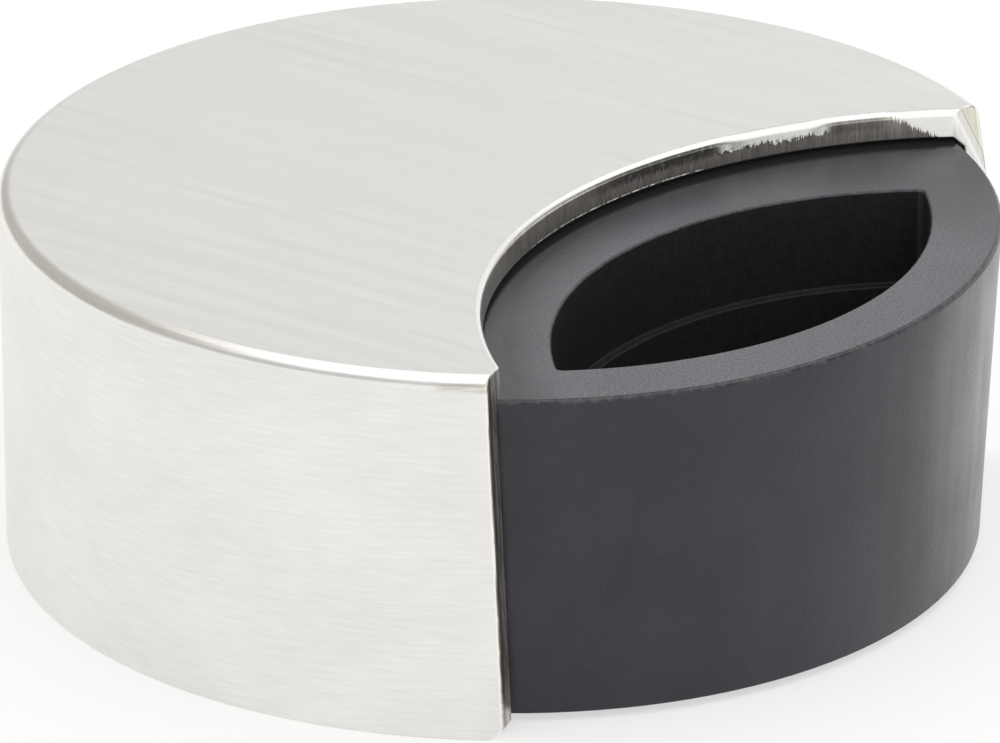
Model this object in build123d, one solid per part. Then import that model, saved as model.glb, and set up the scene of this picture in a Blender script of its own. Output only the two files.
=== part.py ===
from build123d import *
import os
from math import acos, cos, radians, sin, tan

# Floor door stop: a satin metal housing with a round bite out of its front, over a rubber buffer.
# Millimetres. The origin is the middle of the footprint, on the floor, +Z is up, and the door comes
# from the front, along +Y. Each piece is drawn about the housing's axis and then set on the footprint.

# Housing, a round die-cast cap
housing_radius = 30.0
housing_height = 22.0
wall = 1.3
plate = 1.7
rim_fillet = 0.75
corner_chamfer = 0.6

# Bite, a round opening through the plate and the wall, narrower towards the floor
bite_centre = 34.9
bite_radius = 30.45
bite_draft = 2.3
bite_edge = 0.4

# Wall ends, both dressed flat: the left one down to the floor, the right one at its top corner only
end_cut = 1.4
end_turn = 13.0
right_end_lean = 19.0
wall_end_corner = 1.1

# Buffer, a rubber puck that fills the housing
side_clearance = 0.3
plate_clearance = 0.3
floor_clearance = 0.5
buffer_draft = 2.6
buffer_edge = 0.25
buffer_turn = -3.9

# Pocket in the buffer, a lens between an arc along the buffer's front and an arc along the bite
front_thickness = 3.95
front_arc_radius = 23.4
back_arc_centre = 31.9
back_arc_radius = 22.8
tip_fillet = 0.4
mouth_edge = 0.15
ledge_depth = 5.85
ledge_width = 0.55
pocket_floor = 4.0

# Hole for the screw that holds the stop to the floor
screw_hole_radius = 2.75

# Places that follow from the sizes above
bite_floor_radius = bite_radius - housing_height * tan(radians(bite_draft))
bite_corner_y = (bite_centre**2 + housing_radius**2 - bite_radius**2) / (2 * bite_centre)
bite_corner = acos(bite_corner_y / housing_radius)
end_angle = bite_corner + end_cut / housing_radius
dressing_width = 4 * wall
dressing_height = 3 * housing_height
plate_underside = housing_height - plate
inner_radius = housing_radius - wall
buffer_bottom = floor_clearance
buffer_top = plate_underside - plate_clearance
buffer_height = buffer_top - buffer_bottom
buffer_top_radius = inner_radius - side_clearance
buffer_bottom_radius = buffer_top_radius - buffer_height * tan(radians(buffer_draft))
front_of_pocket = buffer_top_radius - front_thickness
front_arc_centre = front_of_pocket - front_arc_radius
back_of_pocket = back_arc_centre - back_arc_radius
pocket_middle = (front_of_pocket + back_of_pocket) / 2
ledge_height = buffer_top - ledge_depth
floor_height = buffer_bottom + pocket_floor
axis_to_middle = (housing_radius - buffer_top_radius) / 2

STANDING = (Align.CENTER, Align.CENTER, Align.MIN)
IN_FRONT = (Align.CENTER, Align.MAX, Align.CENTER)


def housing_section():
    """Half of the cap's section, from the axis out, with its rounded rim and its inner corner."""
    rim_start = (housing_radius - rim_fillet, housing_height)
    rim_end = (housing_radius, housing_height - rim_fillet)
    corner_start = (inner_radius, plate_underside - corner_chamfer)
    corner_end = (inner_radius - corner_chamfer, plate_underside)
    top = Polyline((0, plate_underside), (0, housing_height), rim_start)
    rim = RadiusArc(rim_start, rim_end, rim_fillet)
    outside = Line(rim_end, (housing_radius, 0))
    inside = Polyline((housing_radius, 0), (inner_radius, 0), corner_start, corner_end)
    underside = Line(corner_end, (0, plate_underside))
    return Plane.XZ * make_face([top, rim, outside, inside, underside])


def bite():
    """The round, tapered space that is missing from the housing's front."""
    space = Cone(bite_floor_radius, bite_radius, housing_height, align=STANDING)
    return Pos(0, -bite_centre) * space


def dressed_end(side, lean):
    """The sharp corner that is dressed off the wall's end on one side of the bite, 1 right or -1 left."""
    block = Box(dressing_width, dressing_width, dressing_height, align=IN_FRONT)
    corner = Pos(side * housing_radius * sin(end_angle), -housing_radius * cos(end_angle), housing_height)
    return corner * Rot(0, 0, -side * end_turn) * Rot(-lean, 0, 0) * block


def housing():
    """The cap with its bite, its dressed wall ends and a rounded edge along the bite."""
    cap = revolve(housing_section(), Axis.Z) - bite()
    cap = cap - dressed_end(-1, bite_draft) - dressed_end(1, right_end_lean)
    top_edges = cap.faces().sort_by(Axis.Z)[-1].edges()
    back_of_bite = (0, bite_radius - bite_centre, housing_height)
    cap = fillet(top_edges.sort_by_distance(back_of_bite)[0], bite_edge)
    foot_edges = cap.faces().sort_by(Axis.Z)[0].edges()
    return fillet(foot_edges.sort_by(SortBy.LENGTH)[:2], wall_end_corner)


def pocket_lens(inset):
    """Outline of the pocket, drawn in all round by inset, with rounded tips."""
    front = Pos(0, -front_arc_centre) * Circle(front_arc_radius - inset)
    back = Pos(0, -back_arc_centre) * Circle(back_arc_radius - inset)
    lens = front & back
    return fillet(lens.vertices(), tip_fillet)


def face_at(solid, height):
    """The level face of a solid at a height."""
    level = solid.faces().filter_by(Axis.Z)
    return level.sort_by(lambda face: abs(face.center().Z - height))[0]


def buffer():
    """The puck with its stepped pocket and the screw hole in the pocket's floor."""
    puck = Cone(buffer_bottom_radius, buffer_top_radius, buffer_height, align=STANDING)
    puck = Pos(0, 0, buffer_bottom) * puck
    puck = chamfer(puck.edges().group_by(Axis.Z)[-1], buffer_edge)

    pocket = Pos(0, 0, ledge_height) * extrude(pocket_lens(0), ledge_depth)
    well_depth = ledge_height - floor_height
    well = Pos(0, 0, floor_height) * extrude(pocket_lens(ledge_width), well_depth)
    hole = Cylinder(screw_hole_radius, pocket_floor, align=STANDING)
    hole = Pos(0, -pocket_middle, buffer_bottom) * hole
    puck = puck - pocket - well - hole

    puck = chamfer(face_at(puck, buffer_top).inner_wires()[0].edges(), mouth_edge)
    return Rot(0, 0, buffer_turn) * puck


on_footprint = Pos(0, -axis_to_middle)
os.makedirs("parts", exist_ok=True)
export_step(on_footprint * housing(), "parts/housing.step")
export_step(on_footprint * buffer(), "parts/buffer.step")
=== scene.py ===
# %% [markdown]
# Floor door stop in satin nickel and black rubber
#
# A floor stop is screwed to the floor behind a door. The metal housing is the part you see, the rubber
# buffer takes the knock. The solid model gives every size, so this lesson starts from it. The housing is
# made again at those sizes with finer roundings. The buffer is taken as a merged copy, and the edges that a
# mould would soften are softened. Most of the care then goes into the finishes and the light.

from math import acos, asin, cos, hypot, radians, sin, tan

import bpy
from mathutils import Matrix, Vector


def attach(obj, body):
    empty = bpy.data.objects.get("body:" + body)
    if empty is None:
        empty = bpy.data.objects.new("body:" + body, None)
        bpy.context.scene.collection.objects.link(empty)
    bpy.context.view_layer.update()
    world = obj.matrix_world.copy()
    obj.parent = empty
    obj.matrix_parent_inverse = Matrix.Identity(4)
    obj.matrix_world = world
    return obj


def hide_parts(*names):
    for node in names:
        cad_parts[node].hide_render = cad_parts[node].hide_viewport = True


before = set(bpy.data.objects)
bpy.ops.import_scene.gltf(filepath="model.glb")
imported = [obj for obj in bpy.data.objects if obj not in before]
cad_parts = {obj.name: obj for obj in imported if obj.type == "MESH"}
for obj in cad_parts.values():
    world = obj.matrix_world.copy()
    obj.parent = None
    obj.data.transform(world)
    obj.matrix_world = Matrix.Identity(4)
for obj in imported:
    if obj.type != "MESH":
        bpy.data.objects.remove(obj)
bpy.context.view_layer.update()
MM = 0.001

# %% [markdown]
# Sizes
#
# The housing is a circle in plan, and so is the bite out of its front. Both centres are needed again and
# again, to pick edges by their place and to centre the finishes, so they are written down once. The
# frame's origin is the middle of the footprint, and the housing's axis stands a little in front of it.

# %% Sizes that the lesson needs, in millimetres
axis_y = -0.8
housing_radius = 30.0
housing_height = 22.0
rim_fillet = 0.75
plate_underside = 20.3
inner_radius = 28.7
inner_corner = 0.6
bite_centre = 34.9
bite_radius = 30.45
bite_draft = radians(2.3)
bite_edge = 0.4
end_cut = 1.4
end_turn = radians(13.0)
right_end_lean = radians(19.0)
foot_round = 1.1
buffer_top = 20.0
buffer_top_radius = 28.4
buffer_edge = 0.25
pocket_reach = 24.6

bite_slope = tan(bite_draft)
bite_floor_radius = bite_radius - housing_height * bite_slope
rim_radius = housing_radius - rim_fillet
rim_height = housing_height - rim_fillet
print("bite is", round(2 * bite_radius, 1), "mm wide at the top")

# %% [markdown]
# Camera
#
# The stop was photographed from a little above with a long lens, so its far edge looks hardly smaller
# than its near one. A camera could be placed by eye, but a measured distance, angle and focal length
# repeat exactly, so they are set as numbers and the camera is turned to look at a point on the axis.

# %% Camera
camera_turn = radians(-55.07)
camera_rise = radians(23.22)
camera_distance = 0.4701
camera_target = Vector((0, axis_y * MM, 0.0096))
towards_camera = Vector((sin(camera_turn), -cos(camera_turn), 0))
to_the_right = Vector((cos(camera_turn), sin(camera_turn), 0))
back = towards_camera * cos(camera_rise) + Vector((0, 0, sin(camera_rise)))

bpy.ops.object.select_all(action="DESELECT")
bpy.ops.object.camera_add(location=camera_target + back * camera_distance)
camera = bpy.context.object
camera.rotation_mode = "QUATERNION"
camera.rotation_quaternion = (-back).to_track_quat("-Z", "Y")
camera.data.sensor_width = 36
camera.data.lens = 288
camera.data.shift_x = -0.0143
camera.data.clip_start = 0.01
bpy.context.scene.camera = camera
print("camera at", [round(value, 4) for value in camera.location])

# %% [markdown]
# Node helpers
#
# Finishes are built from nodes. Adding a node, setting its sockets and linking it takes several lines
# each time, so one small helper does the three together: a value is set, and a socket is linked. The
# others are the sums that the finishes use most.


# %% Helpers that add nodes
def add_node(tree, kind, inputs=None, **settings):
    """Adds a node, sets its settings, and sets or links its inputs by name or number."""
    made = tree.nodes.new(kind)
    for name, value in settings.items():
        setattr(made, name, value)
    for name, value in (inputs or {}).items():
        if isinstance(value, bpy.types.NodeSocket):
            tree.links.new(value, made.inputs[name])
        else:
            made.inputs[name].default_value = value
    return made


def maths(tree, operation, first, second=0.0):
    """One sum of two numbers or sockets."""
    return add_node(tree, "ShaderNodeMath", {0: first, 1: second}, operation=operation).outputs[0]


def plus(tree, *terms):
    """The total of several numbers or sockets."""
    total = terms[0]
    for term in terms[1:]:
        total = maths(tree, "ADD", total, term)
    return total


def minus(tree, first, second):
    """The first number or socket less the second."""
    return maths(tree, "SUBTRACT", first, second)


def times(tree, *factors):
    """The product of several numbers or sockets."""
    product = factors[0]
    for factor in factors[1:]:
        product = maths(tree, "MULTIPLY", product, factor)
    return product


def either(tree, first, second):
    """The larger of two shares."""
    return maths(tree, "MAXIMUM", first, second)


def without(tree, share):
    """What a share leaves of one."""
    return minus(tree, 1.0, share)


def along(tree, first, second, way):
    """How far a plan vector goes along a direction."""
    return plus(tree, times(tree, first, way.x), times(tree, second, way.y))


def length_of(tree, first, second):
    """The length of a plan vector."""
    return maths(tree, "SQRT", plus(tree, times(tree, first, first), times(tree, second, second)))


def between(tree, value, low, high, to_low=0.0, to_high=1.0):
    """A smooth step of a value from one number to another."""
    inputs = {"Value": value, "From Min": low, "From Max": high, "To Min": to_low, "To Max": to_high}
    return add_node(tree, "ShaderNodeMapRange", inputs, interpolation_type="SMOOTHSTEP").outputs[0]


def within(tree, value, start, end, fade_in, fade_out):
    """A share that is one from start to end, with a soft step to each side of both."""
    begun = between(tree, value, start - fade_in, start + fade_in)
    return times(tree, begun, between(tree, value, end + fade_out, end - fade_out))


def noise(tree, vector, scale, detail=3.0, roughness=0.6):
    """Cloudy noise on a vector, as one number about 0.5."""
    inputs = {"Vector": vector, "Scale": scale, "Detail": detail, "Roughness": roughness}
    return add_node(tree, "ShaderNodeTexNoise", inputs).outputs[0]


def lines(tree, across, way, across_scale, way_scale, shift=0.0, detail=3.0, roughness=0.6):
    """Noise that runs fast across and slowly along a way, for brush lines and scratches."""
    inputs = {"X": times(tree, across, across_scale), "Y": times(tree, way, way_scale), "Z": shift}
    return noise(tree, add_node(tree, "ShaderNodeCombineXYZ", inputs).outputs[0], 1.0, detail, roughness)


def blend(tree, share, first, second):
    """A number that goes from the first to the second as the share goes from 0 to 1."""
    inputs = {"Factor": share, "A": first, "B": second}
    return add_node(tree, "ShaderNodeMix", inputs, data_type="FLOAT").outputs[0]


def tint(tree, share, first, second):
    """A colour that goes from the first to the second as the share goes from 0 to 1."""
    made = add_node(tree, "ShaderNodeMix", data_type="RGBA")
    for socket, value in ((made.inputs[0], share), (made.inputs[6], first), (made.inputs[7], second)):
        if isinstance(value, bpy.types.NodeSocket):
            tree.links.new(value, socket)
        else:
            socket.default_value = value
    return made.outputs[2]


def millimetres(tree):
    """The place on a piece in millimetres, from the housing's axis, as a vector and three numbers."""
    place = add_node(tree, "ShaderNodeTexCoord").outputs["Object"]
    inputs = {"Vector": place, "Scale": (1000, 1000, 1000), "Location": (0, -axis_y, 0)}
    centred = add_node(tree, "ShaderNodeMapping", inputs).outputs[0]
    return centred, *add_node(tree, "ShaderNodeSeparateXYZ", {0: centred}).outputs


def new_finish(name):
    """A new material with its node tree and its shader."""
    finish = bpy.data.materials.new(name)
    finish.use_nodes = True
    return finish, finish.node_tree, finish.node_tree.nodes["Principled BSDF"]


print("node helpers ready")

# %% [markdown]
# Light tent
#
# The stop stands in a white light tent. Metal looks like metal only through what it reflects, so the tent
# matters more than any lamp: it is white all round, brighter overhead and along the horizon, and dimmer at
# the back on the left, where it is closed, and on the right, where it opens. A lamp would show its hard
# outline in the polished rim, so the whole tent is painted into the sky as smooth steps. The floor is a
# large white disc. For the eye and in reflections most of it glows a plain white, and the rest of it keeps
# the stop's shadow.

# %% Sky
left_wall, right_wall = 0.64, 0.92
horizon_light, roof_light = 1.15, 1.5
closed_light, opening_light = 0.55, 0.45
white, warm_white = (1, 1, 1, 1), (1, 0.97, 0.9, 1)

sky = bpy.data.worlds.new("light_tent")
bpy.context.scene.world = sky
sky.use_nodes = True
tent = sky.node_tree
tent.nodes.clear()
sky_way = add_node(tent, "ShaderNodeTexCoord").outputs["Generated"]
sky_x, sky_y, sky_z = add_node(tent, "ShaderNodeSeparateXYZ", {0: sky_way}).outputs
sky_back = along(tent, sky_x, sky_y, -towards_camera)
sky_right = along(tent, sky_x, sky_y, to_the_right)
walls = between(tent, sky_right, -0.4, 0.4, left_wall, right_wall)
tent_light = blend(tent, between(tent, sky_z, 0.22, 0.05), walls, horizon_light)
tent_light = blend(tent, between(tent, sky_z, 0.5, 0.8), tent_light, roof_light)
closed_back = times(tent, between(tent, sky_back, -0.3, 0.1), between(tent, sky_right, -0.1, -0.4))
closed_end = times(tent, closed_back, between(tent, sky_z, 0.9, 0.7))
tent_light = blend(tent, closed_end, tent_light, closed_light)
opening = times(tent, between(tent, sky_right, 0.5, 0.75), within(tent, sky_z, 0.19, 0.5, 0.05, 0.1))
tent_light = blend(tent, opening, tent_light, opening_light)
tent_colour = tint(tent, closed_end, white, warm_white)
tent_shader = add_node(tent, "ShaderNodeBackground", {"Color": tent_colour, "Strength": tent_light})
add_node(tent, "ShaderNodeOutputWorld", {"Surface": tent_shader.outputs[0]})
bpy.context.scene.view_settings.view_transform = "Standard"
print("sky nodes:", len(tent.nodes))

# %% Floor
glow_share = 0.6
bpy.ops.mesh.primitive_circle_add(vertices=96, radius=3.0, fill_type="NGON")
floor = bpy.context.object
floor.name = "floor"
floor_paint, ground, floor_shader = new_finish("floor_white")
floor_shader.inputs["Base Color"].default_value = (0.95, 0.95, 0.94, 1)
floor_shader.inputs["Roughness"].default_value = 0.9
floor_shader.inputs["Specular IOR Level"].default_value = 0.1
ray = add_node(ground, "ShaderNodeLightPath").outputs
mirrored = either(ground, ray["Is Glossy Ray"], ray["Is Transmission Ray"])
seen = either(ground, ray["Is Camera Ray"], mirrored)
glow = add_node(ground, "ShaderNodeEmission", {"Color": white, "Strength": 1.0})
floor_mix = {0: times(ground, seen, glow_share), 1: floor_shader.outputs[0], 2: glow.outputs[0]}
floor_seen = add_node(ground, "ShaderNodeMixShader", floor_mix)
ground.links.new(floor_seen.outputs[0], ground.nodes["Material Output"].inputs["Surface"])
floor.data.materials.append(floor_paint)
print("floor radius", floor.dimensions.x / 2)

# %% [markdown]
# Modelling helpers
#
# The same few moves come back at each piece: make it the active one, pick edges or faces by their place,
# apply a modifier, smooth the roundings. A mouse picks by eye. A test on the place in millimetres picks the
# same edges on each run, so each move is a small function.


# %% Helpers that pick, cut and smooth
def activate(piece):
    """Makes a piece the only selected object and the active one."""
    bpy.ops.object.select_all(action="DESELECT")
    piece.select_set(True)
    bpy.context.view_layer.objects.active = piece


def clear_picks(kind):
    """Deselects all of the active piece, with edges or faces as the kind that is picked."""
    bpy.ops.object.mode_set(mode="EDIT")
    bpy.ops.mesh.select_mode(type=kind)
    bpy.ops.mesh.select_all(action="DESELECT")
    bpy.ops.object.mode_set(mode="OBJECT")


def pick_edges(piece, wanted):
    """Leaves a piece in edit mode, with the edges selected whose two ends pass a test in millimetres."""
    clear_picks("EDGE")
    for edge in piece.data.edges:
        edge.select = all(wanted(piece.data.vertices[index].co / MM) for index in edge.vertices)
    bpy.ops.object.mode_set(mode="EDIT")


def pick_faces(piece, wanted):
    """Leaves a piece in edit mode, with the faces selected that pass a test."""
    clear_picks("FACE")
    for face in piece.data.polygons:
        face.select = wanted(face)
    bpy.ops.object.mode_set(mode="EDIT")


def apply_modifier(piece, kind, **settings):
    """Adds a modifier to the active piece, sets it and applies it."""
    bpy.ops.object.modifier_add(type=kind)
    modifier = piece.modifiers[-1]
    for name, value in settings.items():
        setattr(modifier, name, value)
    bpy.ops.object.modifier_apply(modifier=modifier.name)


def soften_edges(sharpness, offset, segments, clamp):
    """Bevels the edges of the active piece that are sharper than an angle."""
    bpy.ops.object.mode_set(mode="EDIT")
    bpy.ops.mesh.select_mode(type="EDGE")
    bpy.ops.mesh.select_all(action="DESELECT")
    bpy.ops.mesh.edges_select_sharp(sharpness=sharpness)
    bpy.ops.mesh.bevel(offset=offset * MM, segments=segments, profile=0.5, clamp_overlap=clamp)
    bpy.ops.object.mode_set(mode="OBJECT")


def smooth(piece, angle):
    """Shades the roundings of the active piece smooth, and keeps its large faces flat."""
    bpy.ops.object.shade_smooth_by_angle(angle=angle)
    apply_modifier(piece, "WEIGHTED_NORMAL", keep_sharp=True, weight=100)


print("modelling helpers ready")

# %% [markdown]
# Buffer
#
# The buffer is one rubber moulding. Rubber never has a knife edge. Its rim and the pocket's mouth have a
# small flat in the solid, and the copy here shades them as roundings. The ledge inside the pocket is sharp in
# the solid, so its edge gets a small bevel. The flat faces are merged first, because a bevel runs cleanly
# along the edge of one face and not of many slivers.

# %% Copy the buffer as one welded mesh
buffer = bpy.data.objects.new("rubber_buffer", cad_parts["buffer"].data.copy())
bpy.context.scene.collection.objects.link(buffer)
buffer.data.materials.clear()
activate(buffer)
bpy.ops.mesh.customdata_custom_splitnormals_clear()
bpy.ops.object.mode_set(mode="EDIT")
bpy.ops.mesh.select_all(action="SELECT")
bpy.ops.mesh.remove_doubles(threshold=0.002 * MM)
bpy.ops.mesh.dissolve_limited(angle_limit=radians(0.2))
bpy.ops.object.mode_set(mode="OBJECT")
print("buffer faces:", len(buffer.data.polygons))

# %% Soften the ledge and the floor edge
soften_edges(radians(70), 0.12, 2, True)
smooth(buffer, radians(52))
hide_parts("buffer")
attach(buffer, "root")
buffer_box = [round(side / MM, 2) for side in buffer.dimensions]
print("buffer faces after the bevel:", len(buffer.data.polygons), "box", buffer_box)

# %% [markdown]
# Housing blank
#
# The housing is a round zinc casting, hollow from below. The solid model's own facets are coarse on the
# rounded rim, and a bright rim shows every facet, so the housing is made again here at the same sizes with
# finer steps. A cylinder gets a rounded upper edge by a bevel, and its underside is inset and pushed up,
# which leaves the wall and the plate. The corner inside is bevelled flat, as a casting needs it.

# %% Turn a cylinder into a hollow cap
touching = 0.01
level = 0.99


def on_upper_edge(end):
    """Whether a point is at the height of the housing's top."""
    return end.z > housing_height - touching


def in_inner_corner(end):
    """Whether a point is in the corner between the plate's underside and the wall."""
    at_underside = abs(end.z - plate_underside) < touching
    return at_underside and hypot(end.x, end.y - axis_y) < inner_radius + touching


bpy.ops.object.select_all(action="DESELECT")
bpy.ops.mesh.primitive_cylinder_add(
    vertices=240,
    radius=housing_radius * MM,
    depth=housing_height * MM,
    location=Vector((0, axis_y, housing_height / 2)) * MM,
)
housing = bpy.context.object
housing.name = "nickel_housing"
bpy.ops.object.transform_apply(location=True)
pick_edges(housing, on_upper_edge)
bpy.ops.mesh.bevel(offset=rim_fillet * MM, segments=10, profile=0.5)
pick_faces(housing, lambda face: face.normal.z < -level)
bpy.ops.mesh.inset(thickness=(housing_radius - inner_radius) * MM)
bpy.ops.mesh.extrude_region_move(TRANSFORM_OT_translate={"value": (0, 0, plate_underside * MM)})
pick_edges(housing, in_inner_corner)
bpy.ops.mesh.bevel(offset=inner_corner * MM, segments=1)
bpy.ops.object.mode_set(mode="OBJECT")
print("cap faces:", len(housing.data.polygons))

# %% [markdown]
# Bite and wall ends
#
# The bite is milled through the plate and the wall by a tapered cutter that also rounds the plate's upper
# edge. A cutter is easy to make as a solid: a cone whose top is pushed out step by step along the rounding.
# It is taken away from the cap with a Boolean, which leaves a clean edge. The two wall ends are then filed
# flat, and each filing is one more block that is taken away.


# %% Helper that cuts one solid with another
def cut_away(piece, cutter):
    """Takes a cutter's shape out of a piece and deletes the cutter."""
    activate(piece)
    apply_modifier(piece, "BOOLEAN", operation="DIFFERENCE", solver="EXACT", object=cutter)
    bpy.data.objects.remove(cutter)


print("cutter ready")

# %% Mill the bite
spare = 1.0
steps = 8
rounding_height = housing_height - bite_edge
wall_top = rounding_height + bite_edge * sin(bite_draft)
wall_top_radius = bite_floor_radius + wall_top * bite_slope
rounding_radius = wall_top_radius + bite_edge * cos(bite_draft)
bite_middle = Vector((0, axis_y - bite_centre, (wall_top - spare) / 2)) * MM
bpy.ops.mesh.primitive_cone_add(
    vertices=360,
    radius1=(bite_floor_radius - spare * bite_slope) * MM,
    radius2=wall_top_radius * MM,
    depth=(wall_top + spare) * MM,
    location=bite_middle,
)
cutter = bpy.context.object
bpy.ops.object.transform_apply(location=True)
rings = [(wall_top_radius, wall_top)]
for step in range(1, steps):
    turn = bite_draft + (radians(90) - bite_draft) * step / steps
    rings.append((rounding_radius - bite_edge * cos(turn), rounding_height + bite_edge * sin(turn)))
rings.append((rounding_radius, housing_height + touching))
rings.append((rounding_radius, housing_height + spare))
pick_faces(cutter, lambda face: face.normal.z > level)
for (ring, height), (next_ring, next_height) in zip(rings, rings[1:]):
    rise = (next_height - height) * MM
    bpy.ops.mesh.extrude_region_move(TRANSFORM_OT_translate={"value": (0, 0, rise)})
    wider = (next_ring / ring, next_ring / ring, 1)
    bpy.ops.transform.resize(value=wider, center_override=(bite_middle.x, bite_middle.y, 0))
bpy.ops.object.mode_set(mode="OBJECT")
cut_away(housing, cutter)
print("faces with the bite:", len(housing.data.polygons))

# %% File the wall ends flat
block_size = Vector((5.2, 5.2, 66.0)) * MM
bite_corner_y = (bite_centre**2 + housing_radius**2 - bite_radius**2) / (2 * bite_centre)
end_angle = acos(bite_corner_y / housing_radius) + end_cut / housing_radius
in_front = Matrix.Diagonal((*block_size, 1)) @ Matrix.Translation((0, -0.5, 0))
for side, lean in ((-1, bite_draft), (1, right_end_lean)):
    corner = Vector((side * sin(end_angle), -cos(end_angle), 0)) * housing_radius
    place = Matrix.Translation((corner + Vector((0, axis_y, housing_height))) * MM)
    turned = Matrix.Rotation(-side * end_turn, 4, "Z") @ Matrix.Rotation(-lean, 4, "X")
    bpy.ops.mesh.primitive_cube_add(size=1)
    block = bpy.context.object
    block.data.transform(place @ turned @ in_front)
    cut_away(housing, block)
print("faces with the filed ends:", len(housing.data.polygons))

# %% Round the wall ends at the foot
foot_radius = foot_round * MM
foot_y = (bite_centre**2 + housing_radius**2 - bite_floor_radius**2) / (2 * bite_centre)
foot_x = (housing_radius**2 - foot_y**2) ** 0.5
left_turn = Matrix.Rotation(end_turn, 4, "Z")
left_foot = Vector((-sin(end_angle), -cos(end_angle), 0)) * housing_radius
left_foot += left_turn @ Vector((0, -housing_height * bite_slope, 0))
right_turn = Matrix.Rotation(-asin(foot_x / bite_floor_radius), 4, "Z")
right_foot = Vector((foot_x, -foot_y, 0))
lying = Matrix.Translation((0, foot_radius, foot_radius)) @ Matrix.Rotation(radians(90), 4, "Y")
for foot, turn in ((left_foot, left_turn), (right_foot, right_turn)):
    bpy.ops.mesh.primitive_cube_add(size=2 * foot_radius)
    block = bpy.context.object
    block.data.transform(Matrix.Diagonal((3, 1, 1, 1)))
    bpy.ops.mesh.primitive_cylinder_add(vertices=64, radius=foot_radius, depth=10 * foot_radius)
    hollow = bpy.context.object
    hollow.data.transform(lying)
    cut_away(block, hollow)
    block.data.transform(Matrix.Translation((foot + Vector((0, axis_y, 0))) * MM) @ turn)
    cut_away(housing, block)
print("faces with the rounded feet:", len(housing.data.polygons))

# %% Break the sharp edges and smooth the roundings
bpy.ops.object.mode_set(mode="EDIT")
bpy.ops.mesh.select_mode(type="EDGE")
bpy.ops.mesh.select_all(action="SELECT")
bpy.ops.mesh.remove_doubles(threshold=0.03 * MM)
soften_edges(radians(35), 0.14, 3, False)
smooth(housing, radians(50))
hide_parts("housing")
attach(housing, "root")
housing_box = [round(side / MM, 3) for side in housing.dimensions]
print("housing faces:", len(housing.data.polygons), "box", housing_box)

# %% [markdown]
# Satin nickel
#
# The casting is brushed and nickel plated. The top is brushed straight, along the door's way, and the side
# round and round, in short strokes. The rim is rubbed bright. The bite and the wall ends are ground, which
# leaves scratches up and down and a fine burr along the plate's lower edge. A picture could hold all that,
# but noise that is stretched far along one direction gives it at any distance, and it follows the solid.

# %% Places on the housing
nickel, metal, metal_shader = new_finish("satin_nickel_finish")
_, mx, my, mz = millimetres(metal)
radius = length_of(metal, mx, my)
around = times(metal, maths(metal, "ARCTAN2", mx, my), housing_radius)
bite_y = plus(metal, my, bite_centre)
bite_here = plus(metal, times(metal, mz, bite_slope), bite_floor_radius)
from_bite = minus(metal, length_of(metal, mx, bite_y), bite_here)
along_bite = times(metal, maths(metal, "ARCTAN2", mx, bite_y), bite_radius)
facing = add_node(metal, "ShaderNodeNewGeometry").outputs["Normal"]
_, facing_y, facing_z = add_node(metal, "ShaderNodeSeparateXYZ", {0: facing}).outputs

on_top = between(metal, facing_z, 0.85, 0.99)
at_rim_height = between(metal, mz, rim_height - 0.15, rim_height + 0.15)
on_rim = times(metal, between(metal, radius, rim_radius - 0.1, rim_radius + 0.15), at_rim_height)
on_cut = between(metal, from_bite, bite_edge + 0.02, bite_edge - 0.06)
in_wall = between(metal, radius, inner_radius - 1.7, inner_radius - 1.5)
on_end = times(metal, between(metal, facing_y, -0.85, -0.9), in_wall)
on_left_end = times(metal, on_end, between(metal, mx, 1.0, -1.0))
on_right_end = times(metal, on_end, between(metal, mx, -1.0, 1.0))
ground_face = either(metal, on_cut, on_end)
in_the_cup = between(metal, radius, inner_radius + 0.2, inner_radius + 0.1)
below_plate = between(metal, mz, plate_underside + 0.1, plate_underside + 0.05)
inside = times(metal, in_the_cup, below_plate, without(metal, ground_face))
print("places:", len(metal.nodes), "nodes")

# %% Brush lines and scratches
top_fine = lines(metal, mx, my, 6.0, 0.12, detail=4.0)
top_broad = lines(metal, mx, my, 0.9, 0.03, 7.0)
side_slant = plus(metal, mz, times(metal, around, 0.03))
side_fine = lines(metal, side_slant, around, 5.0, 0.3, detail=4.0, roughness=0.7)
side_broad = lines(metal, mz, around, 0.16, 0.1, 3.0)
fine_lines = blend(metal, on_top, side_fine, top_fine)
broad_lines = blend(metal, on_top, side_broad, top_broad)
scratches = lines(metal, along_bite, mz, 5.0, 0.3, 5.0, 4.0, 0.75)
burr_breaks = lines(metal, along_bite, mz, 1.6, 0.0, 9.0, roughness=0.8)
at_lower_edge = between(metal, mz, plate_underside + 0.2, plate_underside + 0.1)
burr_place = times(metal, on_cut, within(metal, along_bite, -5.0, 10.0, 1.0, 1.0), at_lower_edge)
burr = times(metal, burr_place, between(metal, burr_breaks, 0.45, 0.55))
print("lines:", len(metal.nodes), "nodes")
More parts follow.
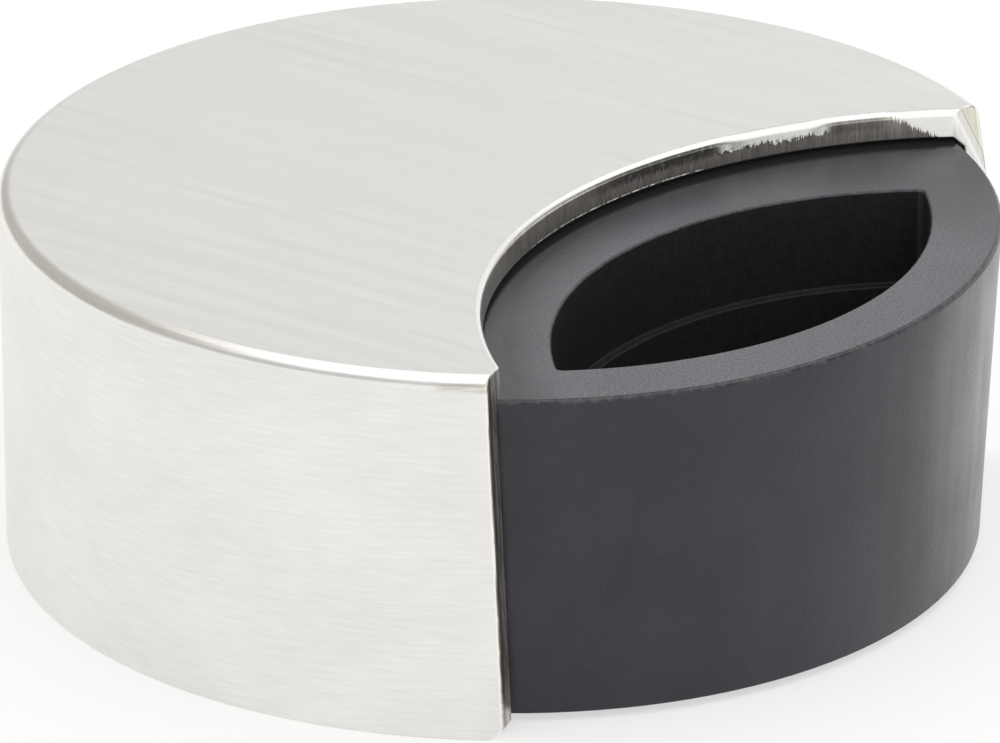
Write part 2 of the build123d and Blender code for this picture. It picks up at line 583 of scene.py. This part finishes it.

# %% [markdown]
# Hand polish on the cut
#
# The bite is ground by machine and then touched up by hand. A belt rolls over the plate's upper edge and
# leans the face back a little, more so in one stretch and at the right end, which are polished white. The
# upper part of the cut also gets a dark band painted into its colour, a painted dark reflection of the dim
# surroundings that this face mirrors. The solid has the straight cut, and a lean this small would be lost in
# its facets, so the shading normal is leaned instead. Each mark and the painted band end in a jagged line.

# %% Marks of the hand polish, and the painted dark reflection on the cut
jag = minus(metal, lines(metal, along_bite, mz, 9.0, 0.25, 2.0, roughness=0.7), 0.5)
speckle = minus(metal, lines(metal, along_bite, mz, 2.2, 2.2, 4.0, roughness=0.7), 0.5)
end_start = 23.5
end_steepness = 0.48
end_rise = times(metal, minus(metal, along_bite, end_start), end_steepness)
above_end_line = plus(metal, minus(metal, mz, housing_height - 0.5), end_rise, times(metal, jag, 1.6))
all_of_the_tip = between(metal, along_bite, 26.0, 27.5, 0.0, 8.0)
end_mark = between(metal, plus(metal, above_end_line, all_of_the_tip), -0.1, 0.1)
polished_end = times(metal, on_cut, between(metal, along_bite, 22.0, 22.8), end_mark)

touch_height = plus(metal, mz, times(metal, jag, 1.1))
# Painted dark reflection: a dark band along the upper part of the cut, standing in for the dim surroundings
# it mirrors.
dark_reflection_edge = between(metal, touch_height, housing_height - 1.0, housing_height - 0.75)
dark_reflection_stretch = within(metal, along_bite, 2.0, 22.5, 3.0, 1.0)
dark_reflection_strength = between(metal, along_bite, 15.0, 19.0, 0.85, 0.5)
dark_reflection_speckle = between(metal, speckle, 0.2, -0.05, 0.5, 1.0)
painted_dark_reflection = times(metal, dark_reflection_edge, dark_reflection_stretch, dark_reflection_strength, dark_reflection_speckle)

bright_height = plus(metal, touch_height, times(metal, speckle, 1.2))
bright_mark = between(metal, bright_height, housing_height - 0.85, housing_height - 0.7)
bright_touch = times(metal, on_cut, within(metal, along_bite, 12.5, 18.5, 1.5, 1.0), bright_mark)
polished = either(metal, polished_end, bright_touch)
print("marks:", len(metal.nodes), "nodes")

# %% Lean of the polished cut
polished_lean = 0.55
up_the_cut = between(metal, mz, plate_underside, housing_height)
cut_lean = plus(metal, times(metal, up_the_cut, 0.06), times(metal, jag, 0.08))
lean_share = blend(metal, polished, times(metal, on_cut, cut_lean), polished_lean)
lean_up = add_node(metal, "ShaderNodeCombineXYZ", {"Z": lean_share}).outputs[0]
leaned = add_node(metal, "ShaderNodeVectorMath", {0: facing, 1: lean_up}, operation="ADD").outputs[0]
leaned = add_node(metal, "ShaderNodeVectorMath", {0: leaned}, operation="NORMALIZE").outputs[0]
print("lean:", len(metal.nodes), "nodes")

# %% Colour of the nickel
brushed_dark, brushed_light = (0.748, 0.739, 0.709, 1), (0.882, 0.873, 0.843, 1)
ground_dark, ground_light = (0.44, 0.413, 0.368, 1), (0.66, 0.632, 0.585, 1)
left_dark, left_light = (0.34, 0.305, 0.265, 1), (0.9, 0.85, 0.77, 1)
right_beige = (0.70, 0.67, 0.56, 1)
# Two colours of painted dark reflection: on the upper part of the cut, and on the left end's outer edge.
dark_reflection_colour, painted_reflection_brown = (0.1, 0.095, 0.085, 1), (0.12, 0.105, 0.085, 1)
# The first colour is a painted highlight for edge roundings, the second the colour of the polished metal.
painted_edge_highlight, bright_patch = (0.93, 0.92, 0.90, 1), (0.68, 0.67, 0.645, 1)
olive, cast_grey = (0.5, 0.46, 0.36, 1), (0.5, 0.49, 0.47, 1)

wear = plus(metal, times(metal, fine_lines, 0.55), times(metal, broad_lines, 0.45))
shade = between(metal, blend(metal, ground_face, wear, scratches), 0.25, 0.75)
shade = blend(metal, on_top, shade, between(metal, wear, -0.2, 1.2))
brushed_colour = tint(metal, shade, brushed_dark, brushed_light)

ground_colour = tint(metal, between(metal, scratches, 0.35, 0.65), ground_dark, ground_light)
# Painted dark reflection on the upper part of the cut.
ground_colour = tint(metal, painted_dark_reflection, ground_colour, dark_reflection_colour)
# The left end's streaks are ground scratches, and their dark end also stands in for the dark rubber mirrored
# beside it, so they are partly painted reflection.
left_colour = tint(metal, between(metal, scratches, 0.4, 0.6), left_dark, left_light)
# Painted dark reflection: a brown band along the outer edge of the left end, where its rounding mirrors the
# dark rubber.
left_edge_reflection_band = within(metal, radius, housing_radius - 0.525, housing_radius - 0.25, 0.075, 0.05)
left_colour = tint(metal, times(metal, left_edge_reflection_band, 0.7), left_colour, painted_reflection_brown)
ground_colour = tint(metal, on_left_end, ground_colour, left_colour)
ground_colour = tint(metal, on_right_end, ground_colour, right_beige)

plain_cut = times(metal, between(metal, from_bite, 0.12, 0.04), without(metal, polished))
metal_colour = tint(metal, either(metal, plain_cut, on_end), brushed_colour, ground_colour)
# Painted highlight: the rounding at the top of the cut and the outer corners of the wall ends are coloured
# lighter, standing in for the thin bright lines of light along them.
cut_rounding = times(metal, on_cut, between(metal, from_bite, 0.04, 0.12))
to_the_end = within(metal, facing_y, -0.93, -0.66, 0.03, 0.04)
outer_corner = times(metal, between(metal, radius, housing_radius - 0.3, housing_radius - 0.2), to_the_end)
metal_colour = tint(metal, either(metal, cut_rounding, outer_corner), metal_colour, painted_edge_highlight)
metal_colour = tint(metal, polished, metal_colour, bright_patch)
smudge_height = within(metal, mz, housing_height - 0.875, housing_height - 0.35, 0.125, 0.1)
smudge_place = times(metal, between(metal, around, -60.6, -61.8), smudge_height)
on_outside = between(metal, radius, housing_radius - 0.35, housing_radius - 0.25)
smudge = times(metal, smudge_place, on_outside, between(metal, side_fine, 0.4, 0.55), 0.6)
metal_colour = tint(metal, smudge, metal_colour, olive)
metal_colour = tint(metal, inside, metal_colour, cast_grey)
metal.links.new(metal_colour, metal_shader.inputs["Base Color"])
metal_shader.inputs["Metallic"].default_value = 1.0
print("nickel colour:", len(metal.nodes), "nodes")

# %% Roughness and relief of the nickel
rough_brushed = between(metal, wear, 0.25, 0.75, 0.30, 0.40)
rough_rubbed = blend(metal, on_rim, rough_brushed, 0.24)
rough_ground = between(metal, scratches, 0.3, 0.7, 0.12, 0.26)
rough_ground = blend(metal, on_left_end, rough_ground, 0.28)
rough_outside = blend(metal, ground_face, rough_rubbed, rough_ground)
metal.links.new(blend(metal, inside, rough_outside, 0.55), metal_shader.inputs["Roughness"])
brush_depth, scratch_depth, burr_height = 0.006, 0.012, 0.06
brushed_relief = times(metal, fine_lines, brush_depth)
relief = blend(metal, ground_face, brushed_relief, times(metal, scratches, scratch_depth))
relief = plus(metal, relief, times(metal, burr, burr_height))
bump_inputs = {"Height": relief, "Strength": 1.0, "Distance": MM, "Normal": leaned}
metal_bump = add_node(metal, "ShaderNodeBump", bump_inputs)
metal.links.new(metal_bump.outputs[0], metal_shader.inputs["Normal"])
housing.data.materials.append(nickel)
print("satin nickel:", len(metal.nodes), "nodes")

# %% [markdown]
# Black rubber
#
# Moulded rubber is a charcoal with a dull bloom, cloudy at the size of a fingertip and grainy at the size
# of a hair, with crowds of tiny pits where air was caught. Most of its light is a soft shine, so the colour
# is almost black and the roughness carries the cloud. The front of the top and a patch on the right of the
# side are coloured paler as painted sheen. The strip beside the plate is smooth, so that it mirrors the dark
# gap, and is coloured black as painted shadow under the plate's edge. The rounded edge gets light specks,
# partly wear and partly painted highlight. All of it is noise on the place, and none of it needs a picture.

# %% Places on the buffer
rubber, soft, soft_shader = new_finish("black_rubber_finish")
soft_mm, sx, sy, sz = millimetres(soft)
soft_facing = add_node(soft, "ShaderNodeNewGeometry").outputs["True Normal"]
soft_facing_z = add_node(soft, "ShaderNodeSeparateXYZ", {0: soft_facing}).outputs["Z"]
on_side = between(soft, maths(soft, "ABSOLUTE", soft_facing_z), 0.4, 0.2)
on_level = between(soft, soft_facing_z, 0.8, 0.95)
on_slope = between(soft, maths(soft, "ABSOLUTE", minus(soft, soft_facing_z, 0.7)), 0.25, 0.15)
soft_around = times(soft, maths(soft, "ARCTAN2", sx, sy), buffer_top_radius)
to_bite_edge = minus(soft, bite_radius, length_of(soft, sx, plus(soft, sy, bite_centre)))
# The strip next to the plate: painted shadow in the colour, and smooth in the roughness.
shaded_smooth_strip = times(soft, between(soft, to_bite_edge, 1.4, 0.9), on_level)
to_the_front = between(soft, along(soft, sx, sy, towards_camera), -6.0, 8.0)
# Painted sheen: the front of the rubber's top, away from the plate, is coloured paler where its grazing shine
# shows.
front_of_top = times(soft, to_the_front, between(soft, to_bite_edge, 0.5, 4.5), on_level)
# Painted sheen: a paler patch on the right of the side, standing in for the soft grazing shine there.
side_sheen_reach = between(soft, along(soft, sx, sy, to_the_right), 22.5, 26.8)
side_sheen_place = times(soft, on_side, side_sheen_reach, between(soft, sz, 5.0, 12.0))
edge_height = buffer_top - buffer_edge
at_edge = times(soft, on_slope, between(soft, sz, edge_height - 0.1, edge_height))
print("places:", len(soft.nodes), "nodes")

# %% Colour of the rubber
# A black for the painted shadow beside the plate.
black = (0, 0, 0, 1)
charcoal_dark, charcoal_light = (0.0015, 0.0, 0.0065, 1), (0.0145, 0.0112, 0.0205, 1)
# Colours of painted sheen on the top, painted sheen on the right of the side, and the edge's wear and painted
# highlight.
top_sheen_colour, side_sheen_colour, worn_edge_and_highlight = (0.13, 0.127, 0.142, 1), (0.12, 0.119, 0.129, 1), (0.045, 0.045, 0.048, 1)

cloud = noise(soft, soft_mm, 0.2, 5.0)
fine_dust_and_sheen = between(soft, noise(soft, soft_mm, 6.0, 3.0, 0.75), 0.4, 0.68)
bloom = plus(soft, times(soft, between(soft, cloud, 0.3, 0.7), 0.55), times(soft, fine_dust_and_sheen, 0.45))
rubber_colour = tint(soft, bloom, charcoal_dark, charcoal_light)
# Painted sheen on the front of the top, with a fine grain in it.
painted_top_sheen = times(soft, front_of_top, plus(soft, times(soft, fine_dust_and_sheen, 0.7), 0.25))
rubber_colour = tint(soft, painted_top_sheen, rubber_colour, top_sheen_colour)
# Painted sheen on the right of the side.
painted_side_sheen = times(soft, side_sheen_place, plus(soft, times(soft, fine_dust_and_sheen, 0.5), 0.55))
rubber_colour = tint(soft, painted_side_sheen, rubber_colour, side_sheen_colour)
# Painted shadow: the strip beside the plate is coloured black, standing in for the shade under the plate's
# edge.
rubber_colour = tint(soft, shaded_smooth_strip, rubber_colour, black)
# Lighter specks on the rubber's rounded edge: partly wear, partly painted highlight of the light along that
# edge.
edge_specks_and_highlight = times(soft, at_edge, between(soft, noise(soft, soft_mm, 2.0, 3.0, 0.8), 0.4, 0.65))
rubber_colour = tint(soft, edge_specks_and_highlight, rubber_colour, worn_edge_and_highlight)
soft.links.new(rubber_colour, soft_shader.inputs["Base Color"])
soft_shader.inputs["IOR"].default_value = 1.54
soft_shader.inputs["Sheen Weight"].default_value = 0.12
soft_shader.inputs["Sheen Roughness"].default_value = 0.5
soft_shader.inputs["Sheen Tint"].default_value = (0.93, 0.93, 1.0, 1)
print("rubber colour:", len(soft.nodes), "nodes")

# %% Shine and relief of the rubber
mould_lines = lines(soft, soft_around, sz, 0.5, 0.03)
shine = plus(soft, times(soft, cloud, 0.5), times(soft, blend(soft, on_side, 0.5, mould_lines), 0.5))
worn_shine = between(soft, shine, 0.3, 0.7, 0.40, 0.25)
soft.links.new(blend(soft, shaded_smooth_strip, worn_shine, 0.06), soft_shader.inputs["Roughness"])
grain_height, pit_depth = 0.03, 0.045
grain = noise(soft, soft_mm, 4.0, 3.0, 0.7)
pit_inputs = {"Vector": soft_mm, "Scale": 1.1, "Randomness": 1.0}
pit_field = add_node(soft, "ShaderNodeTexVoronoi", pit_inputs).outputs["Distance"]
pit_crowd = between(soft, noise(soft, soft_mm, 0.22, 2.0, 0.5), 0.49, 0.6)
pits = times(soft, pit_crowd, between(soft, pit_field, 0.1, 0.05))
skin = minus(soft, times(soft, grain, grain_height), times(soft, pits, pit_depth))
soft_bump = add_node(soft, "ShaderNodeBump", {"Height": skin, "Strength": 0.8, "Distance": MM})
soft.links.new(soft_bump.outputs[0], soft_shader.inputs["Normal"])
buffer.data.materials.append(rubber)
print("black rubber:", len(soft.nodes), "nodes")

# %% [markdown]
# Inside of the pocket
#
# Deep in the pocket the rubber sits in shade. Its faces get a dimmer copy of the rubber, with next to no
# shine and no sheen, as painted shade. That could be mixed in by place, but sheen and shine are one number
# for a whole finish, so the pocket's faces get a finish of their own, and the colour is a plain one with a
# little cloud.

# %% Shaded copy of the rubber in the pocket
pocket_shade_dark, pocket_shade_light = (0.017, 0.0166, 0.0184, 1), (0.027, 0.0264, 0.0288, 1)
below_mouth = buffer_top - 0.2
above_foot = 1.0


def in_pocket(face):
    """Whether a face of the buffer lies in the pocket, below its mouth."""
    x, y, z = face.center / MM
    return hypot(x, y - axis_y) < pocket_reach and above_foot < z < below_mouth


# Painted shade: a copy of the rubber with weak shine and no sheen, for the pocket's faces.
pocket_shade_finish, dull, dull_shader = new_finish("pocket_shade_rubber_finish")
dull_mm = millimetres(dull)[0]
dull_cloud = between(dull, noise(dull, dull_mm, 2.5, 4.0, 0.75), 0.3, 0.7)
dull.links.new(tint(dull, dull_cloud, pocket_shade_dark, pocket_shade_light), dull_shader.inputs["Base Color"])
dull_shader.inputs["Roughness"].default_value = 0.5
dull_shader.inputs["Specular IOR Level"].default_value = 0.15
buffer.data.materials.append(pocket_shade_finish)
activate(buffer)
pick_faces(buffer, in_pocket)
buffer.active_material_index = 1
bpy.ops.object.material_slot_assign()
bpy.ops.object.mode_set(mode="OBJECT")
print("faces in the pocket:", sum(face.material_index == 1 for face in buffer.data.polygons))
